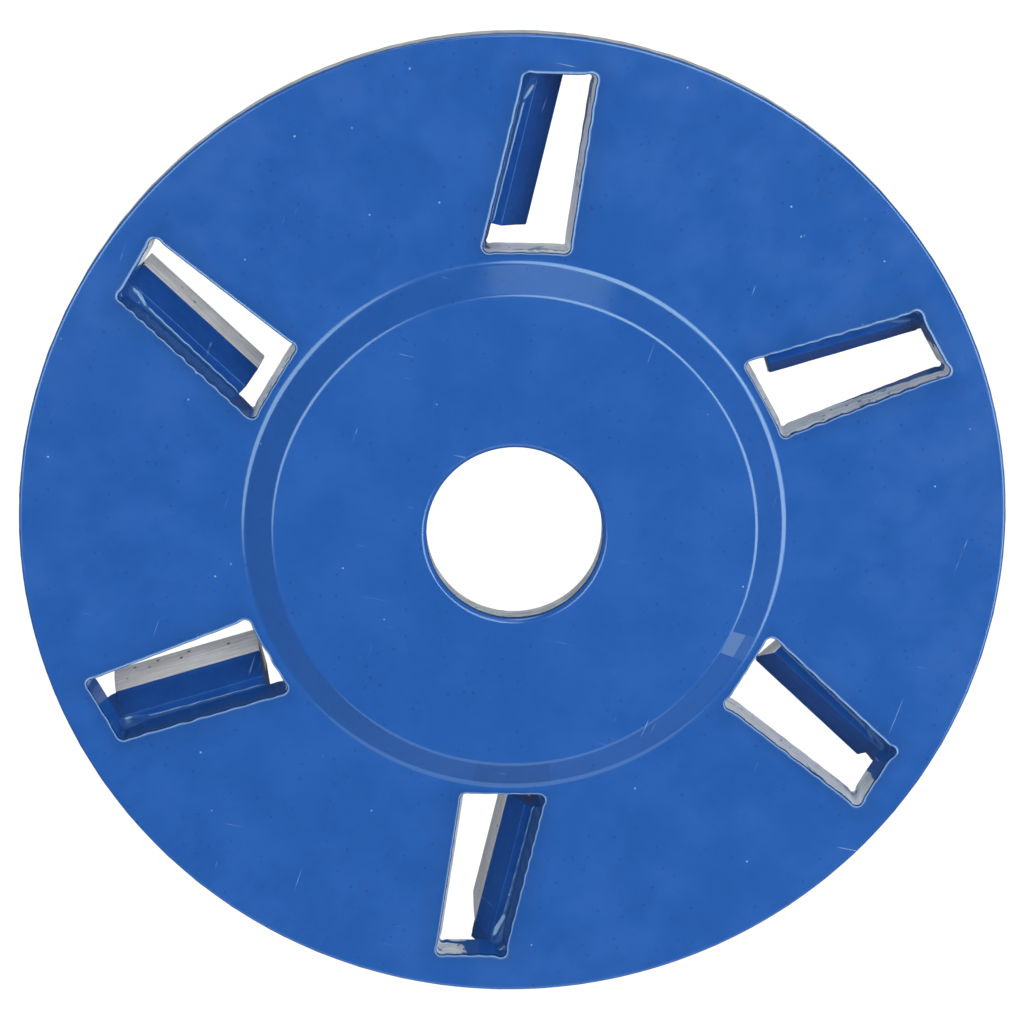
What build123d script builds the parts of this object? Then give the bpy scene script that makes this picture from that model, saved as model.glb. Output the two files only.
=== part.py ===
"""Six-tooth carving disc for an angle grinder, in millimetres.

The origin is the centre of the arbor bore, half way through its wall. +Z is the spindle axis and
points at the grinder, so the teeth hang below the disc. Seen from +Z the disc turns clockwise.

Each tooth station has its own frame: the disc's frame turned about Z by the station's angle. In it
X runs along the blade, outwards, and +Y is the trailing side, so the blade leans towards -Y.
"""

import math
import os

from build123d import *

# Disc
DISC_D = 90.0
BORE_D = 16.0
PLATE_T = 3.0
BORE_CHAMFER = 0.3
RIM_FILLET = 0.4

# Raised centre, pressed out of the plate towards the grinder
BOSS_TOP_D = 44.0
BOSS_FOOT_D = 49.2
BOSS_RISE = 1.8
PRESS_RADIUS = 0.8

# Chip windows, as cut in the face on the grinder's side
TOOTH_COUNT = 6
WINDOW_TRAIL_Y = 8.9
WINDOW_INNER_X = 24.15
WINDOW_LENGTH = 16.35
WINDOW_INNER_WIDTH = 7.65
WINDOW_OUTER_WIDTH = 6.25
WINDOW_END_SLANT = 12.5
WINDOW_CORNER_R = 0.7
WINDOW_WALL_TAPER = 7.5

# Blades, welded on end to the work face under the trailing wall of each window
BLADE_T = 3.0
BLADE_INNER_X = 26.4
BLADE_LENGTH = 14.1
BLADE_OVERHANG = 1.35
BLADE_HEIGHT = 6.0
FLANK_CLEARANCE = 15.0

# Each blade as set and ground by hand: lean of the blade and of its ground face from the disc's
# axis, in degrees, and how far below the root the ground face starts
BLADE_SET = (
    (28.0, 11.0, 2.8),
    (31.0, 1.0, 4.0),
    (28.0, 12.0, 2.8),
    (31.0, 21.0, 2.8),
    (28.0, 10.0, 2.8),
    (30.0, 1.0, 4.0),
)

# Weld metal
HEEL_LEG = 2.4
HEEL_BULGE = 0.3
HEEL_SETBACK = 0.5
END_WELD_RISE = 2.0
END_WELD_ALONG_WALL = 2.8
END_WELD_ALONG_END = 3.2
END_WELD_HOLLOW = 0.4
END_WELD_TAPER = 18.0
WELD_STOCK = 1.5

# Heights worked out from the sizes above
BOSS_TOP_Z = PLATE_T / 2
BOSS_BACK_Z = -PLATE_T / 2
FACE_Z = BOSS_TOP_Z - BOSS_RISE
WORK_Z = FACE_Z - PLATE_T
TIP_Z = WORK_Z - BLADE_HEIGHT


def station_angles():
    """Angle of each tooth station about Z, in degrees."""
    return [number * 360 / TOOTH_COUNT for number in range(TOOTH_COUNT)]


def turned(plane, angle):
    """A plane through the origin, turned about Z to a tooth station."""
    return plane.rotated((0, 0, angle))


def window_corners():
    """The window's corners in its station's frame: trailing inner, leading inner and outer, trailing outer."""
    slant = math.tan(math.radians(WINDOW_END_SLANT))
    outer_x = WINDOW_INNER_X + WINDOW_LENGTH
    return [
        (WINDOW_INNER_X, WINDOW_TRAIL_Y),
        (WINDOW_INNER_X + WINDOW_INNER_WIDTH * slant, WINDOW_TRAIL_Y - WINDOW_INNER_WIDTH),
        (outer_x + WINDOW_OUTER_WIDTH * slant, WINDOW_TRAIL_Y - WINDOW_OUTER_WIDTH),
        (outer_x, WINDOW_TRAIL_Y),
    ]


def blade_section(lean, grind, grind_start):
    """The blade's outline across its length, as (Y, Z) points in its station's frame."""
    root_front = WINDOW_TRAIL_Y - BLADE_OVERHANG
    root_heel = root_front + BLADE_T / math.cos(math.radians(lean))
    slope = math.tan(math.radians(lean))
    grind_y = root_front - grind_start * slope
    tip_y = grind_y - (BLADE_HEIGHT - grind_start) * math.tan(math.radians(grind))
    rise = math.tan(math.radians(FLANK_CLEARANCE))
    # The flank climbs back from the tip until it meets the blade's rear face.
    flank_run = (root_heel - tip_y - BLADE_HEIGHT * slope) / (1 - rise * slope)
    return [
        (root_front, WORK_Z),
        (grind_y, WORK_Z - grind_start),
        (tip_y, TIP_Z),
        (tip_y + flank_run, TIP_Z + rise * flank_run),
        (root_heel, WORK_Z),
    ]


# Disc plate: one pressed blank with a raised centre, the arbor bore and six chip windows
half_angle = math.atan(BOSS_RISE / ((BOSS_FOOT_D - BOSS_TOP_D) / 2)) / 2
inset = PLATE_T * math.tan(half_angle)

with BuildSketch() as window:
    with BuildLine():
        Polyline(*window_corners(), close=True)
    make_face()
    fillet(window.vertices(), WINDOW_CORNER_R)

with BuildPart() as disc_plate:
    with BuildSketch(Plane.XZ):
        with BuildLine():
            Polyline(
                (BORE_D / 2, BOSS_TOP_Z),
                (BOSS_TOP_D / 2, BOSS_TOP_Z),
                (BOSS_FOOT_D / 2, FACE_Z),
                (DISC_D / 2, FACE_Z),
                (DISC_D / 2, WORK_Z),
                (BOSS_FOOT_D / 2 - inset, WORK_Z),
                (BOSS_TOP_D / 2 - inset, BOSS_BACK_Z),
                (BORE_D / 2, BOSS_BACK_Z),
                close=True,
            )
        profile = make_face()
        bends = profile.vertices().filter_by(lambda v: BORE_D / 2 + 1 < v.X < DISC_D / 2 - 1)
        fillet(bends, PRESS_RADIUS)
    revolve(axis=Axis.Z)
    with BuildSketch(Plane.XY.offset(FACE_Z)):
        with PolarLocations(0, TOOTH_COUNT):
            add(window.sketch)
    extrude(amount=-PLATE_T, taper=WINDOW_WALL_TAPER, mode=Mode.SUBTRACT)
    circles = disc_plate.edges().filter_by(GeomType.CIRCLE)
    chamfer(circles.filter_by(lambda e: math.isclose(e.radius, BORE_D / 2, abs_tol=0.01)), BORE_CHAMFER)
    fillet(circles.filter_by(lambda e: math.isclose(e.radius, DISC_D / 2, abs_tol=0.01)), RIM_FILLET)

disc_plate.part.label = "disc_plate"
pieces = [disc_plate.part]

for number, (angle, blade_set) in enumerate(zip(station_angles(), BLADE_SET), start=1):
    lean, section = blade_set[0], blade_section(*blade_set)
    across = turned(Plane.YZ, angle)

    # Tooth: a flat steel blade with a ground face and flank
    with BuildPart() as tooth:
        with BuildSketch(across.offset(BLADE_INNER_X)):
            with BuildLine():
                Polyline(*section, close=True)
            make_face()
        extrude(amount=BLADE_LENGTH)
    tooth.part.label = f"tooth_{number}"

    # Heel weld: the bead behind the blade, between its rear face and the work face
    heel_y = section[-1][0]
    toe = (heel_y + HEEL_LEG, WORK_Z)
    top = (
        heel_y - HEEL_LEG * math.sin(math.radians(lean)),
        WORK_Z - HEEL_LEG * math.cos(math.radians(lean)),
    )
    with BuildPart() as heel_weld:
        with BuildSketch(across.offset(BLADE_INNER_X + HEEL_SETBACK)):
            with BuildLine():
                Polyline(top, (heel_y, WORK_Z), toe)
                SagittaArc(toe, top, HEEL_BULGE)
            make_face()
        extrude(amount=BLADE_LENGTH - 2 * HEEL_SETBACK)
    heel_weld.part.label = f"heel_weld_{number}"

    # End weld: fills the window's outer trailing corner, on top of the blade's root
    corner_x, corner_y = window_corners()[-1]
    wall_point = (corner_x - END_WELD_ALONG_WALL, corner_y)
    end_point = (
        corner_x + END_WELD_ALONG_END * math.tan(math.radians(WINDOW_END_SLANT)),
        corner_y - END_WELD_ALONG_END,
    )
    with BuildPart() as end_weld:
        with BuildSketch(turned(Plane.XY, angle).offset(WORK_Z)):
            with BuildLine():
                SagittaArc(wall_point, end_point, END_WELD_HOLLOW)
                Polyline(
                    end_point,
                    (end_point[0] + WELD_STOCK, end_point[1]),
                    (end_point[0] + WELD_STOCK, corner_y + WELD_STOCK),
                    (wall_point[0], corner_y + WELD_STOCK),
                    wall_point,
                )
            make_face()
        extrude(amount=END_WELD_RISE, taper=END_WELD_TAPER)
        add(disc_plate.part, mode=Mode.SUBTRACT)
    end_weld.part.label = f"end_weld_{number}"

    pieces += [tooth.part, heel_weld.part, end_weld.part]

os.makedirs("parts", exist_ok=True)
for piece in pieces:
    export_step(piece, f"parts/{piece.label}.step")
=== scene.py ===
"""Looks for a six-tooth carving disc for an angle grinder.

Glossy enamel over pressed steel, with bare punched walls, ground cutting edges and weld metal.

Everything is in metres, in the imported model's frame: the origin is the centre of the arbor bore and
+Z points at the grinder. A tooth station has its own frame, the disc's frame turned about Z: in it
X runs outwards along the blade and +Y is the trailing side, so the blade leans towards -Y.
"""

import logging
import math
from dataclasses import dataclass
from enum import Enum
from typing import Any, Sequence

import bmesh
import bpy
import numpy as np
from mathutils import Matrix, Vector
from mathutils.geometry import delaunay_2d_cdt

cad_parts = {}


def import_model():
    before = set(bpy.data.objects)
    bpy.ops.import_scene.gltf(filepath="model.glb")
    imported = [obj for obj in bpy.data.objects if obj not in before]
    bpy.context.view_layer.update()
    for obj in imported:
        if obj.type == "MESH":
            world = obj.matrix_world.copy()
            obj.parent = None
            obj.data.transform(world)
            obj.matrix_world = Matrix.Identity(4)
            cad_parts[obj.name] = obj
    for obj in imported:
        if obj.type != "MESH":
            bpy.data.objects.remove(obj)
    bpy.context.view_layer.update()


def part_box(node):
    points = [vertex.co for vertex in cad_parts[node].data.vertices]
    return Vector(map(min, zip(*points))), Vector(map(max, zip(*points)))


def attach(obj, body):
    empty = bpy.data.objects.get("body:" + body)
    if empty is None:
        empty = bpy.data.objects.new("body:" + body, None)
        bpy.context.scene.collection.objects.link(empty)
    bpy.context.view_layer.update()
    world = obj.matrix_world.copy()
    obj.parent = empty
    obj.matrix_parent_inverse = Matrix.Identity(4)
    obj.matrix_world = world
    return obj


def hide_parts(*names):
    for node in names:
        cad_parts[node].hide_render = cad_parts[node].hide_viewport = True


MM = 0.001
BODY = "root"
WAVE_PARTS = 5
WAVE_LENGTHS = (0.85, 2.2)
WAVE_HEIGHTS = (0.3, 0.8)
SURFACE_VALUES = ("bare", "tarnished", "mark", "along", "across")
STATION_COUNT = 6
Colour = tuple[float, float, float, float]
Spot = tuple[float, float]
Socket = bpy.types.NodeSocket
log = logging.getLogger("carving_disc")


class Side(Enum):
    """Walls of a chip window, in the order in which its outline meets them."""

    INNER = 0
    LEADING = 1
    OUTER = 2
    TRAILING = 3


class Slot(Enum):
    """The record's material slots."""

    PLATE = "plate_steel"
    TOOTH = "tooth_steel"
    WELD = "weld_metal"


def smooth(value: np.ndarray | float, low: float, high: float) -> np.ndarray | float:
    """Eases a value from 0 at low to 1 at high.

    Args:
        value: The number or numbers to ease.
        low: Where the result leaves 0.
        high: Where the result reaches 1.

    Returns:
        The eased value, from 0 to 1.
    """
    share = np.clip((value - low) / (high - low), 0.0, 1.0)
    return share * share * (3.0 - 2.0 * share)


def unevenness(arc: np.ndarray, length: float, wavelength: float, seed: int) -> np.ndarray:
    """Hand-made unevenness along a line that closes on itself.

    Args:
        arc: Places along the line.
        length: The line's whole length.
        wavelength: The usual distance between two crests.
        seed: Seed of the random phases.

    Returns:
        A height at each place, mostly within -1 to 1.
    """
    random = np.random.default_rng(seed)
    total = np.zeros_like(arc)
    for _ in range(WAVE_PARTS):
        waves = max(1, round(length / (wavelength * random.uniform(*WAVE_LENGTHS))))
        phase = random.uniform(0, math.tau)
        height = random.uniform(*WAVE_HEIGHTS)
        total += np.sin(math.tau * waves * arc / length + phase) * height
    return total / math.sqrt(WAVE_PARTS)


def placed(points: np.ndarray, angle: float) -> np.ndarray:
    """Turns points from a station's frame into the disc's frame.

    Args:
        points: Points as rows of X, Y and Z.
        angle: The station's angle about Z, in radians.

    Returns:
        The turned points.
    """
    cos, sin = math.cos(angle), math.sin(angle)
    turn = np.array(((cos, sin, 0.0), (-sin, cos, 0.0), (0.0, 0.0, 1.0)))
    return points @ turn


def within(spots: np.ndarray, ring: np.ndarray) -> np.ndarray:
    """Tells which spots lie inside a ring.

    Args:
        spots: Places as rows of X and Y.
        ring: The ring's corners as rows of X and Y.

    Returns:
        1 for each spot inside the ring and 0 for each outside.
    """
    first, last = ring, np.roll(ring, -1, axis=0)
    x, y = spots[:, :1], spots[:, 1:]
    spans = (first[:, 1] > y) != (last[:, 1] > y)
    run = np.where(first[:, 1] == last[:, 1], 1.0, last[:, 1] - first[:, 1])
    cross = first[:, 0] + (y - first[:, 1]) / run * (last[:, 0] - first[:, 0])
    return np.count_nonzero(spans & (cross > x), axis=1) % 2


class Shell:
    """The points, faces and painted values of one closed mesh while it is laid out."""

    def __init__(self, *values: str) -> None:
        """Starts an empty mesh whose points carry the named values."""
        self.points: list[tuple[float, ...]] = []
        self.faces: list[tuple[int, ...]] = []
        self.values: dict[str, list[float]] = {name: [] for name in values}

    def row(self, points: np.ndarray, **values: Any) -> list[int]:
        """Adds a row of points.

        Args:
            points: Points as rows of X, Y and Z.
            values: What the points carry, one number for all or one for each.

        Returns:
            The indices of the new points.
        """
        start = len(self.points)
        self.points.extend(map(tuple, np.asarray(points, float).tolist()))
        for name, store in self.values.items():
            store.extend(np.broadcast_to(values.get(name, 0.0), len(points)).tolist())
        return list(range(start, len(self.points)))

    def bridge(self, first: Sequence[int], second: Sequence[int], closed: bool = True) -> None:
        """Joins two rows of the same length with a strip of quads.

        Args:
            first: The first row.
            second: The second row.
            closed: Whether the rows close on themselves.
        """
        count = len(first)
        for here in range(count if closed else count - 1):
            there = (here + 1) % count
            self.faces.append((first[here], first[there], second[there], second[here]))

    def cap(self, ring: Sequence[int]) -> None:
        """Closes a ring with one flat face."""
        self.faces.append(tuple(ring))

    def fill(self, rings: Sequence[Sequence[int]], inside: Sequence[int] = ()) -> None:
        """Fills the flat region between an outer ring and the rings within it.

        Args:
            rings: The outer ring and the rings of the openings in it.
            inside: Loose points that the triangles also use.
        """
        indices = [index for ring in rings for index in ring] + list(inside)
        flat = [Vector(self.points[index][:2]) / MM for index in indices]
        edges, start = [], 0
        for ring in rings:
            edges += [(start + k, start + (k + 1) % len(ring)) for k in range(len(ring))]
            start += len(ring)
        found, _, faces, source, _, _ = delaunay_2d_cdt(flat, edges, [], 0, 1e-7)
        middles = np.array([(found[a] + found[b] + found[c]) / 3 for a, b, c in faces])
        crossed = sum(within(middles, np.array([self.points[k][:2] for k in ring]) / MM) for ring in rings)
        for face, count in zip(faces, crossed):
            if count % 2:
                self.faces.append(tuple(indices[source[corner][0]] for corner in face))

    def build(self, name: str, crease: float = 50.0) -> bpy.types.Object:
        """Makes the object, with its faces pointing outwards.

        Args:
            name: The piece's name.
            crease: Edges that turn by more than this many degrees stay sharp.

        Returns:
            The new object.
        """
        mesh = bpy.data.meshes.new(name)
        mesh.from_pydata(self.points, [], self.faces)
        for value, numbers in self.values.items():
            mesh.attributes.new(value, "FLOAT", "POINT").data.foreach_set("value", numbers)
        edit = bmesh.new()
        edit.from_mesh(mesh)
        bmesh.ops.recalc_face_normals(edit, faces=edit.faces)
        if edit.calc_volume(signed=True) < 0:
            bmesh.ops.reverse_faces(edit, faces=edit.faces)
        edit.to_mesh(mesh)
        edit.free()
        mesh.shade_smooth()
        mesh.set_sharp_from_angle(angle=math.radians(crease))
        piece = bpy.data.objects.new(name, mesh)
        bpy.context.scene.collection.objects.link(piece)
        return piece


class Wiring:
    """Adds nodes to one node tree and joins them."""

    def __init__(self, tree: bpy.types.NodeTree) -> None:
        """Works on the given tree."""
        self.tree = tree

    def add(self, kind: str, inputs: dict[Any, Any] | None = None, **settings: Any) -> bpy.types.Node:
        """Adds a node.

        Args:
            kind: The node's type.
            inputs: Its inputs by name or number, each a value or another node's output.
            settings: The node's own settings.

        Returns:
            The new node.
        """
        node = self.tree.nodes.new(kind)
        for name, value in settings.items():
            setattr(node, name, value)
        for name, value in (inputs or {}).items():
            if isinstance(value, Socket):
                self.tree.links.new(value, node.inputs[name])
            else:
                node.inputs[name].default_value = value
        return node

    def maths(self, operation: str, first: Any, second: Any = 0.0) -> Socket:
        """Joins two numbers by an operation of the Math node."""
        return self.add("ShaderNodeMath", {0: first, 1: second}, operation=operation).outputs[0]

    def total(self, *parts: Any) -> Socket:
        """Adds several numbers up."""
        result = parts[0]
        for part in parts[1:]:
            result = self.maths("ADD", result, part)
        return result

    def times(self, first: Any, second: Any) -> Socket:
        """Multiplies two numbers."""
        return self.maths("MULTIPLY", first, second)

    def ease(self, value: Any, low: Any, high: Any, start: Any = 0.0, end: Any = 1.0) -> Socket:
        """Eases a number from start, where it is low, to end, where it is high."""
        inputs = {0: value, 1: low, 2: high, 3: start, 4: end}
        return self.add("ShaderNodeMapRange", inputs, interpolation_type="SMOOTHSTEP").outputs[0]

    def blend(self, share: Any, first: Any, second: Any) -> Socket:
        """Mixes two colours."""
        return self.add("ShaderNodeMix", {0: share, 6: first, 7: second}, data_type="RGBA").outputs[2]

    def between(self, share: Any, first: Any, second: Any) -> Socket:
        """Mixes two numbers."""
        return self.add("ShaderNodeMix", {0: share, 2: first, 3: second}, data_type="FLOAT").outputs[0]

    def noise(self, place: Any, scale: Any, detail: float = 3.0, rough: float = 0.5) -> Socket:
        """Cloudy noise, about 0.5 on average."""
        inputs = {"Vector": place, "Scale": scale, "Detail": detail, "Roughness": rough}
        return self.add("ShaderNodeTexNoise", inputs).outputs[0]

    def stretched(self, place: Any, turn: Any, scale: Sequence[float]) -> Socket:
        """Turns a place, in radians, and then stretches it."""
        turned = self.add("ShaderNodeMapping", {"Vector": place, "Rotation": turn}).outputs[0]
        return self.add("ShaderNodeMapping", {"Vector": turned, "Scale": scale}).outputs[0]


def shared_group(name: str, inputs: dict[str, Any], outputs: dict[str, str]) -> tuple[Wiring, Any, Any]:
    """Starts a shader group with named sockets.

    Args:
        name: The group's name.
        inputs: Each input's starting value: a number, or "Vector", or a colour.
        outputs: Each output's kind of socket, such as Float.

    Returns:
        The group's wiring, the outputs of its input node, and its output node.
    """
    tree = bpy.data.node_groups.new(name, "ShaderNodeTree")
    for title, value in inputs.items():
        kind = "Vector" if value == "Vector" else "Float" if isinstance(value, float) else "Color"
        socket = tree.interface.new_socket(title, in_out="INPUT", socket_type=f"NodeSocket{kind}")
        if value != "Vector":
            socket.default_value = value
    for title, kind in outputs.items():
        tree.interface.new_socket(title, in_out="OUTPUT", socket_type=f"NodeSocket{kind}")
    wiring = Wiring(tree)
    return wiring, wiring.add("NodeGroupInput").outputs, wiring.add("NodeGroupOutput")


class SharedEffects:
    """Shader groups that the finishes share: the enamel's film, bare steel and a ragged paint edge."""

    def __init__(self) -> None:
        """Builds each group once."""
        self.film = self.enamel_film()
        self.steel = self.bare_steel()
        self.edge = self.ragged_edge()

    def enamel_film(self) -> bpy.types.NodeTree:
        """Enamel: mottled colour, specks of dirt under it, faint scratches and orange peel.

        Returns:
            The node group.
        """
        blue, white = (0, 0, 1, 1), (1, 1, 1, 1)
        inputs = {"Place": "Vector", "Light": blue, "Dark": blue, "Haze": white, "Gloss": 0.2}
        wire, given, result = shared_group(
            "enamel_film", inputs, {"Color": "Color", "Roughness": "Float", "Height": "Float"}
        )
        place = given["Place"]
        cloud = wire.noise(place, 160.0, 3.0, 0.6)
        grain = wire.noise(place, 1300.0, 1.0, 0.6)
        share = wire.total(wire.ease(cloud, 0.33, 0.67, 0.0, 0.6), wire.ease(grain, 0.3, 0.7, 0.0, 0.4))
        colour = wire.blend(share, given["Dark"], given["Light"])
        cells = wire.add("ShaderNodeTexVoronoi", {"Vector": place, "Scale": 1400.0})
        pick = wire.add("ShaderNodeSeparateColor", {0: cells.outputs["Color"]}).outputs
        near = cells.outputs["Distance"]
        dirt = wire.times(wire.ease(near, 0.08, 0.24, 1.0, 0.0), wire.ease(pick[0], 0.6, 0.86))
        pale = wire.times(wire.ease(near, 0.05, 0.18, 1.0, 0.0), wire.ease(pick[1], 0.987, 0.992))
        colour = wire.blend(wire.times(dirt, 0.4), colour, (0.012, 0.014, 0.05, 1.0))
        strokes = []
        for turn, low, high in ((0.5, 0.56, 0.64), (2.2, 0.44, 0.36)):
            lines = wire.noise(wire.stretched(place, (0, 0, turn), (120.0, 5200.0, 120.0)), 1.0, 0.0)
            strokes.append(wire.times(wire.ease(lines, 0.79, 0.86), wire.ease(cloud, low, high)))
        scratch = wire.maths("MAXIMUM", *strokes)
        worn = wire.maths("MAXIMUM", wire.times(scratch, 0.3), wire.times(pale, 0.5))
        colour = wire.blend(worn, colour, given["Haze"])
        height = wire.total(wire.times(grain, 0.22), wire.times(cloud, 0.8), wire.times(pale, 0.8))
        uneven = wire.ease(cloud, 0.3, 0.7, -0.03, 0.05)
        rough = wire.total(given["Gloss"], uneven, wire.times(scratch, 0.25))
        for title, socket in (("Color", colour), ("Roughness", rough), ("Height", height)):
            wire.tree.links.new(socket, result.inputs[title])
        return wire.tree

    def bare_steel(self) -> bpy.types.NodeTree:
        """Bare steel: streaks that follow the Streaked place, blotches, pits and tarnish.

        Returns:
            The node group.
        """
        inputs = {
            "Place": "Vector",
            "Streaked": "Vector",
            "Steel": (0.5, 0.5, 0.5, 1),
            "Dull": (0.2, 0.2, 0.2, 1),
            "Tarnish": (0.1, 0.07, 0.04, 1),
            "Tarnished": 0.0,
            "Polish": 0.35,
        }
        wire, given, result = shared_group(
            "bare_steel", inputs, {"Color": "Color", "Roughness": "Float", "Height": "Float"}
        )
        place = given["Place"]
        streak = wire.noise(given["Streaked"], 1.0, 2.0, 0.6)
        blotch = wire.noise(place, 650.0, 3.0, 0.6)
        share = wire.total(wire.ease(streak, 0.36, 0.64, 0.0, 0.6), wire.ease(blotch, 0.4, 0.6, 0.0, 0.4))
        colour = wire.blend(share, given["Dull"], given["Steel"])
        stain = wire.times(wire.ease(blotch, 0.38, 0.6), given["Tarnished"])
        colour = wire.blend(stain, colour, given["Tarnish"])
        pits = wire.add("ShaderNodeTexVoronoi", {"Vector": place, "Scale": 1300.0})
        pick = wire.add("ShaderNodeSeparateColor", {0: pits.outputs["Color"]}).outputs
        near = pits.outputs["Distance"]
        pit = wire.times(wire.ease(near, 0.12, 0.3, 1.0, 0.0), wire.ease(pick[0], 0.86, 0.9))
        colour = wire.blend(wire.times(pit, 0.8), colour, (0.02, 0.025, 0.04, 1.0))
        height = wire.total(streak, wire.times(blotch, 0.6), wire.times(pit, -1.0))
        rough = wire.total(given["Polish"], wire.ease(blotch, 0.3, 0.7, -0.06, 0.12), wire.times(pit, 0.3))
        for title, socket in (("Color", colour), ("Roughness", rough), ("Height", height)):
            wire.tree.links.new(socket, result.inputs[title])
        return wire.tree

    def ragged_edge(self) -> bpy.types.NodeTree:
        """A paint edge: turns a smooth bare value into bare metal with a torn border and smears.

        Returns:
            The node group.
        """
        wire, given, result = shared_group(
            "ragged_edge", {"Place": "Vector", "Bare": 0.0, "Torn": 0.4, "Smears": 0.0}, {"Mask": "Float"}
        )
        tear = wire.noise(given["Place"], 1700.0, 2.0, 0.6)
        swing = wire.times(wire.maths("SUBTRACT", tear, 0.5), given["Torn"])
        drag = wire.noise(wire.stretched(given["Place"], (0, 0, 0.6), (260.0, 260.0, 900.0)), 1.0, 1.0)
        smear = wire.times(wire.ease(drag, 0.56, 0.62), given["Smears"])
        value = wire.maths("SUBTRACT", wire.total(given["Bare"], swing), smear)
        wire.tree.links.new(wire.ease(value, 0.42, 0.58), result.inputs["Mask"])
        return wire.tree


@dataclass(frozen=True)
class EnamelledSteel:
    """Glossy enamel over steel, with the metal bare where a piece's bare value says so."""

    name: str
    light: Colour
    dark: Colour
    haze: Colour = (0.35, 0.5, 0.72, 1.0)
    # Pale colour that marks above 0 give the enamel: the flank's scuff, and the painted highlight on the
    # window lips.
    scuff_and_highlight: Colour = (0.35, 0.49, 0.6, 1.0)
    shade: Colour = (0.003, 0.012, 0.045, 1.0)
    gloss: float = 0.16
    sheen: Colour = (0.66, 0.94, 1.0, 1.0)
    shine: float = 0.92
    steel: Colour = (0.84, 0.9, 0.97, 1.0)
    dull: Colour = (0.42, 0.49, 0.58, 1.0)
    # Bare steel's paler colour for marks above 0: partly bright, freshly cut metal, partly a painted
    # reflection of the pale floor.
    fresh_and_gleam: Colour = (0.95, 0.96, 0.97, 1.0)
    metal: float = 0.25
    tarnish: Colour = (0.16, 0.11, 0.07, 1.0)
    polish: float = 0.36
    streaks_along: float = 260.0
    streaks_across: float = 2400.0
    torn: float = 0.6
    smears: float = 0.45
    relief: float = 0.012 * MM

    def build(self, effects: SharedEffects) -> bpy.types.Material:
        """Builds the material.

        Args:
            effects: The shared shader groups.

        Returns:
            The material.
        """
        material = bpy.data.materials.new(self.name)
        material.use_nodes = True
        material.node_tree.nodes.clear()
        wire = Wiring(material.node_tree)
        place = wire.add("ShaderNodeTexCoord").outputs["Object"]
        value = {
            name: wire.add("ShaderNodeAttribute", attribute_name=name).outputs["Fac"]
            for name in SURFACE_VALUES
        }
        film = wire.add("ShaderNodeGroup", node_tree=effects.film)
        steel = wire.add("ShaderNodeGroup", node_tree=effects.steel)
        edge = wire.add("ShaderNodeGroup", node_tree=effects.edge)
        coat = {"Light": self.light, "Dark": self.dark, "Haze": self.haze, "Gloss": self.gloss}
        metal = {"Steel": self.steel, "Dull": self.dull, "Tarnish": self.tarnish, "Polish": self.polish}
        wanted = ((film, coat), (steel, metal), (edge, {"Torn": self.torn, "Smears": self.smears}))
        for group, values in wanted:
            wire.tree.links.new(place, group.inputs["Place"])
            for title, number in values.items():
                group.inputs[title].default_value = number
        along = wire.times(value["along"], self.streaks_along)
        across = wire.times(value["across"], self.streaks_across)
        streaked = wire.add("ShaderNodeCombineXYZ", {0: along, 1: across}).outputs[0]
        wire.tree.links.new(streaked, steel.inputs["Streaked"])
        wire.tree.links.new(value["tarnished"], steel.inputs["Tarnished"])
        wire.tree.links.new(value["bare"], edge.inputs["Bare"])
        mask = edge.outputs["Mask"]
        # A mark above 0 paints the enamel and the steel paler, partly as painted highlight and reflection;
        # below 0 it paints them darker, toward shade and tarnish.
        pale = wire.maths("MAXIMUM", value["mark"], 0.0)
        dark = wire.maths("MAXIMUM", wire.times(value["mark"], -1.0), 0.0)
        enamel = wire.blend(dark, wire.blend(pale, film.outputs["Color"], self.scuff_and_highlight), self.shade)
        bare = wire.blend(dark, wire.blend(pale, steel.outputs["Color"], self.fresh_and_gleam), self.tarnish)
        height = wire.between(mask, film.outputs["Height"], steel.outputs["Height"])
        height = wire.total(height, wire.times(mask, -1.5))
        bump = wire.add("ShaderNodeBump", {"Height": height, "Strength": 1.0, "Distance": self.relief})
        shader = wire.add(
            "ShaderNodeBsdfPrincipled",
            {
                "Base Color": wire.blend(mask, enamel, bare),
                "Metallic": wire.times(mask, self.metal),
                "Roughness": wire.between(mask, film.outputs["Roughness"], steel.outputs["Roughness"]),
                "IOR": 1.5,
                "Specular IOR Level": self.shine,
                "Specular Tint": self.sheen,
                "Normal": bump.outputs[0],
            },
        )
        wire.add("ShaderNodeOutputMaterial", {"Surface": shader.outputs[0]})
        return material


@dataclass(frozen=True)
class Heights:
    """Levels along the disc's axis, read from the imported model."""

    boss_top: float
    face: float
    work: float
    tip: float

    @classmethod
    def read(cls, plate: float) -> "Heights":
        """Reads the levels, given the plate's thickness."""
        low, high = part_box("disc_plate")
        return cls(high.z, low.z + plate, low.z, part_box("tooth_1")[0].z)


@dataclass(frozen=True)
class Station:
    """What differs from one tooth station to the next, as hand work leaves it."""

    number: int
    lean: float
    grind: float
    grind_start: float
    waves: tuple[float, float, float, float]
    bulges: tuple[float, float, float, float]
    bare: tuple[float, float, float, float]
    # How much paler each side's bare wall is drawn (inner, leading, outer, trailing): partly bright metal,
    # partly a painted reflection of the floor.
    fresh_and_gleam: tuple[float, float, float, float]
    drip: float = 0.0
    tip_wear: float = 0.0
    inner_round: float = 0.0
    facet: float = 0.0
    smudge: float = 0.0
    sawn_end: float = 0.0

    @property
    def angle(self) -> float:
        """The station's angle about Z, in radians."""
        return math.tau * (self.number - 1) / STATION_COUNT


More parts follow.
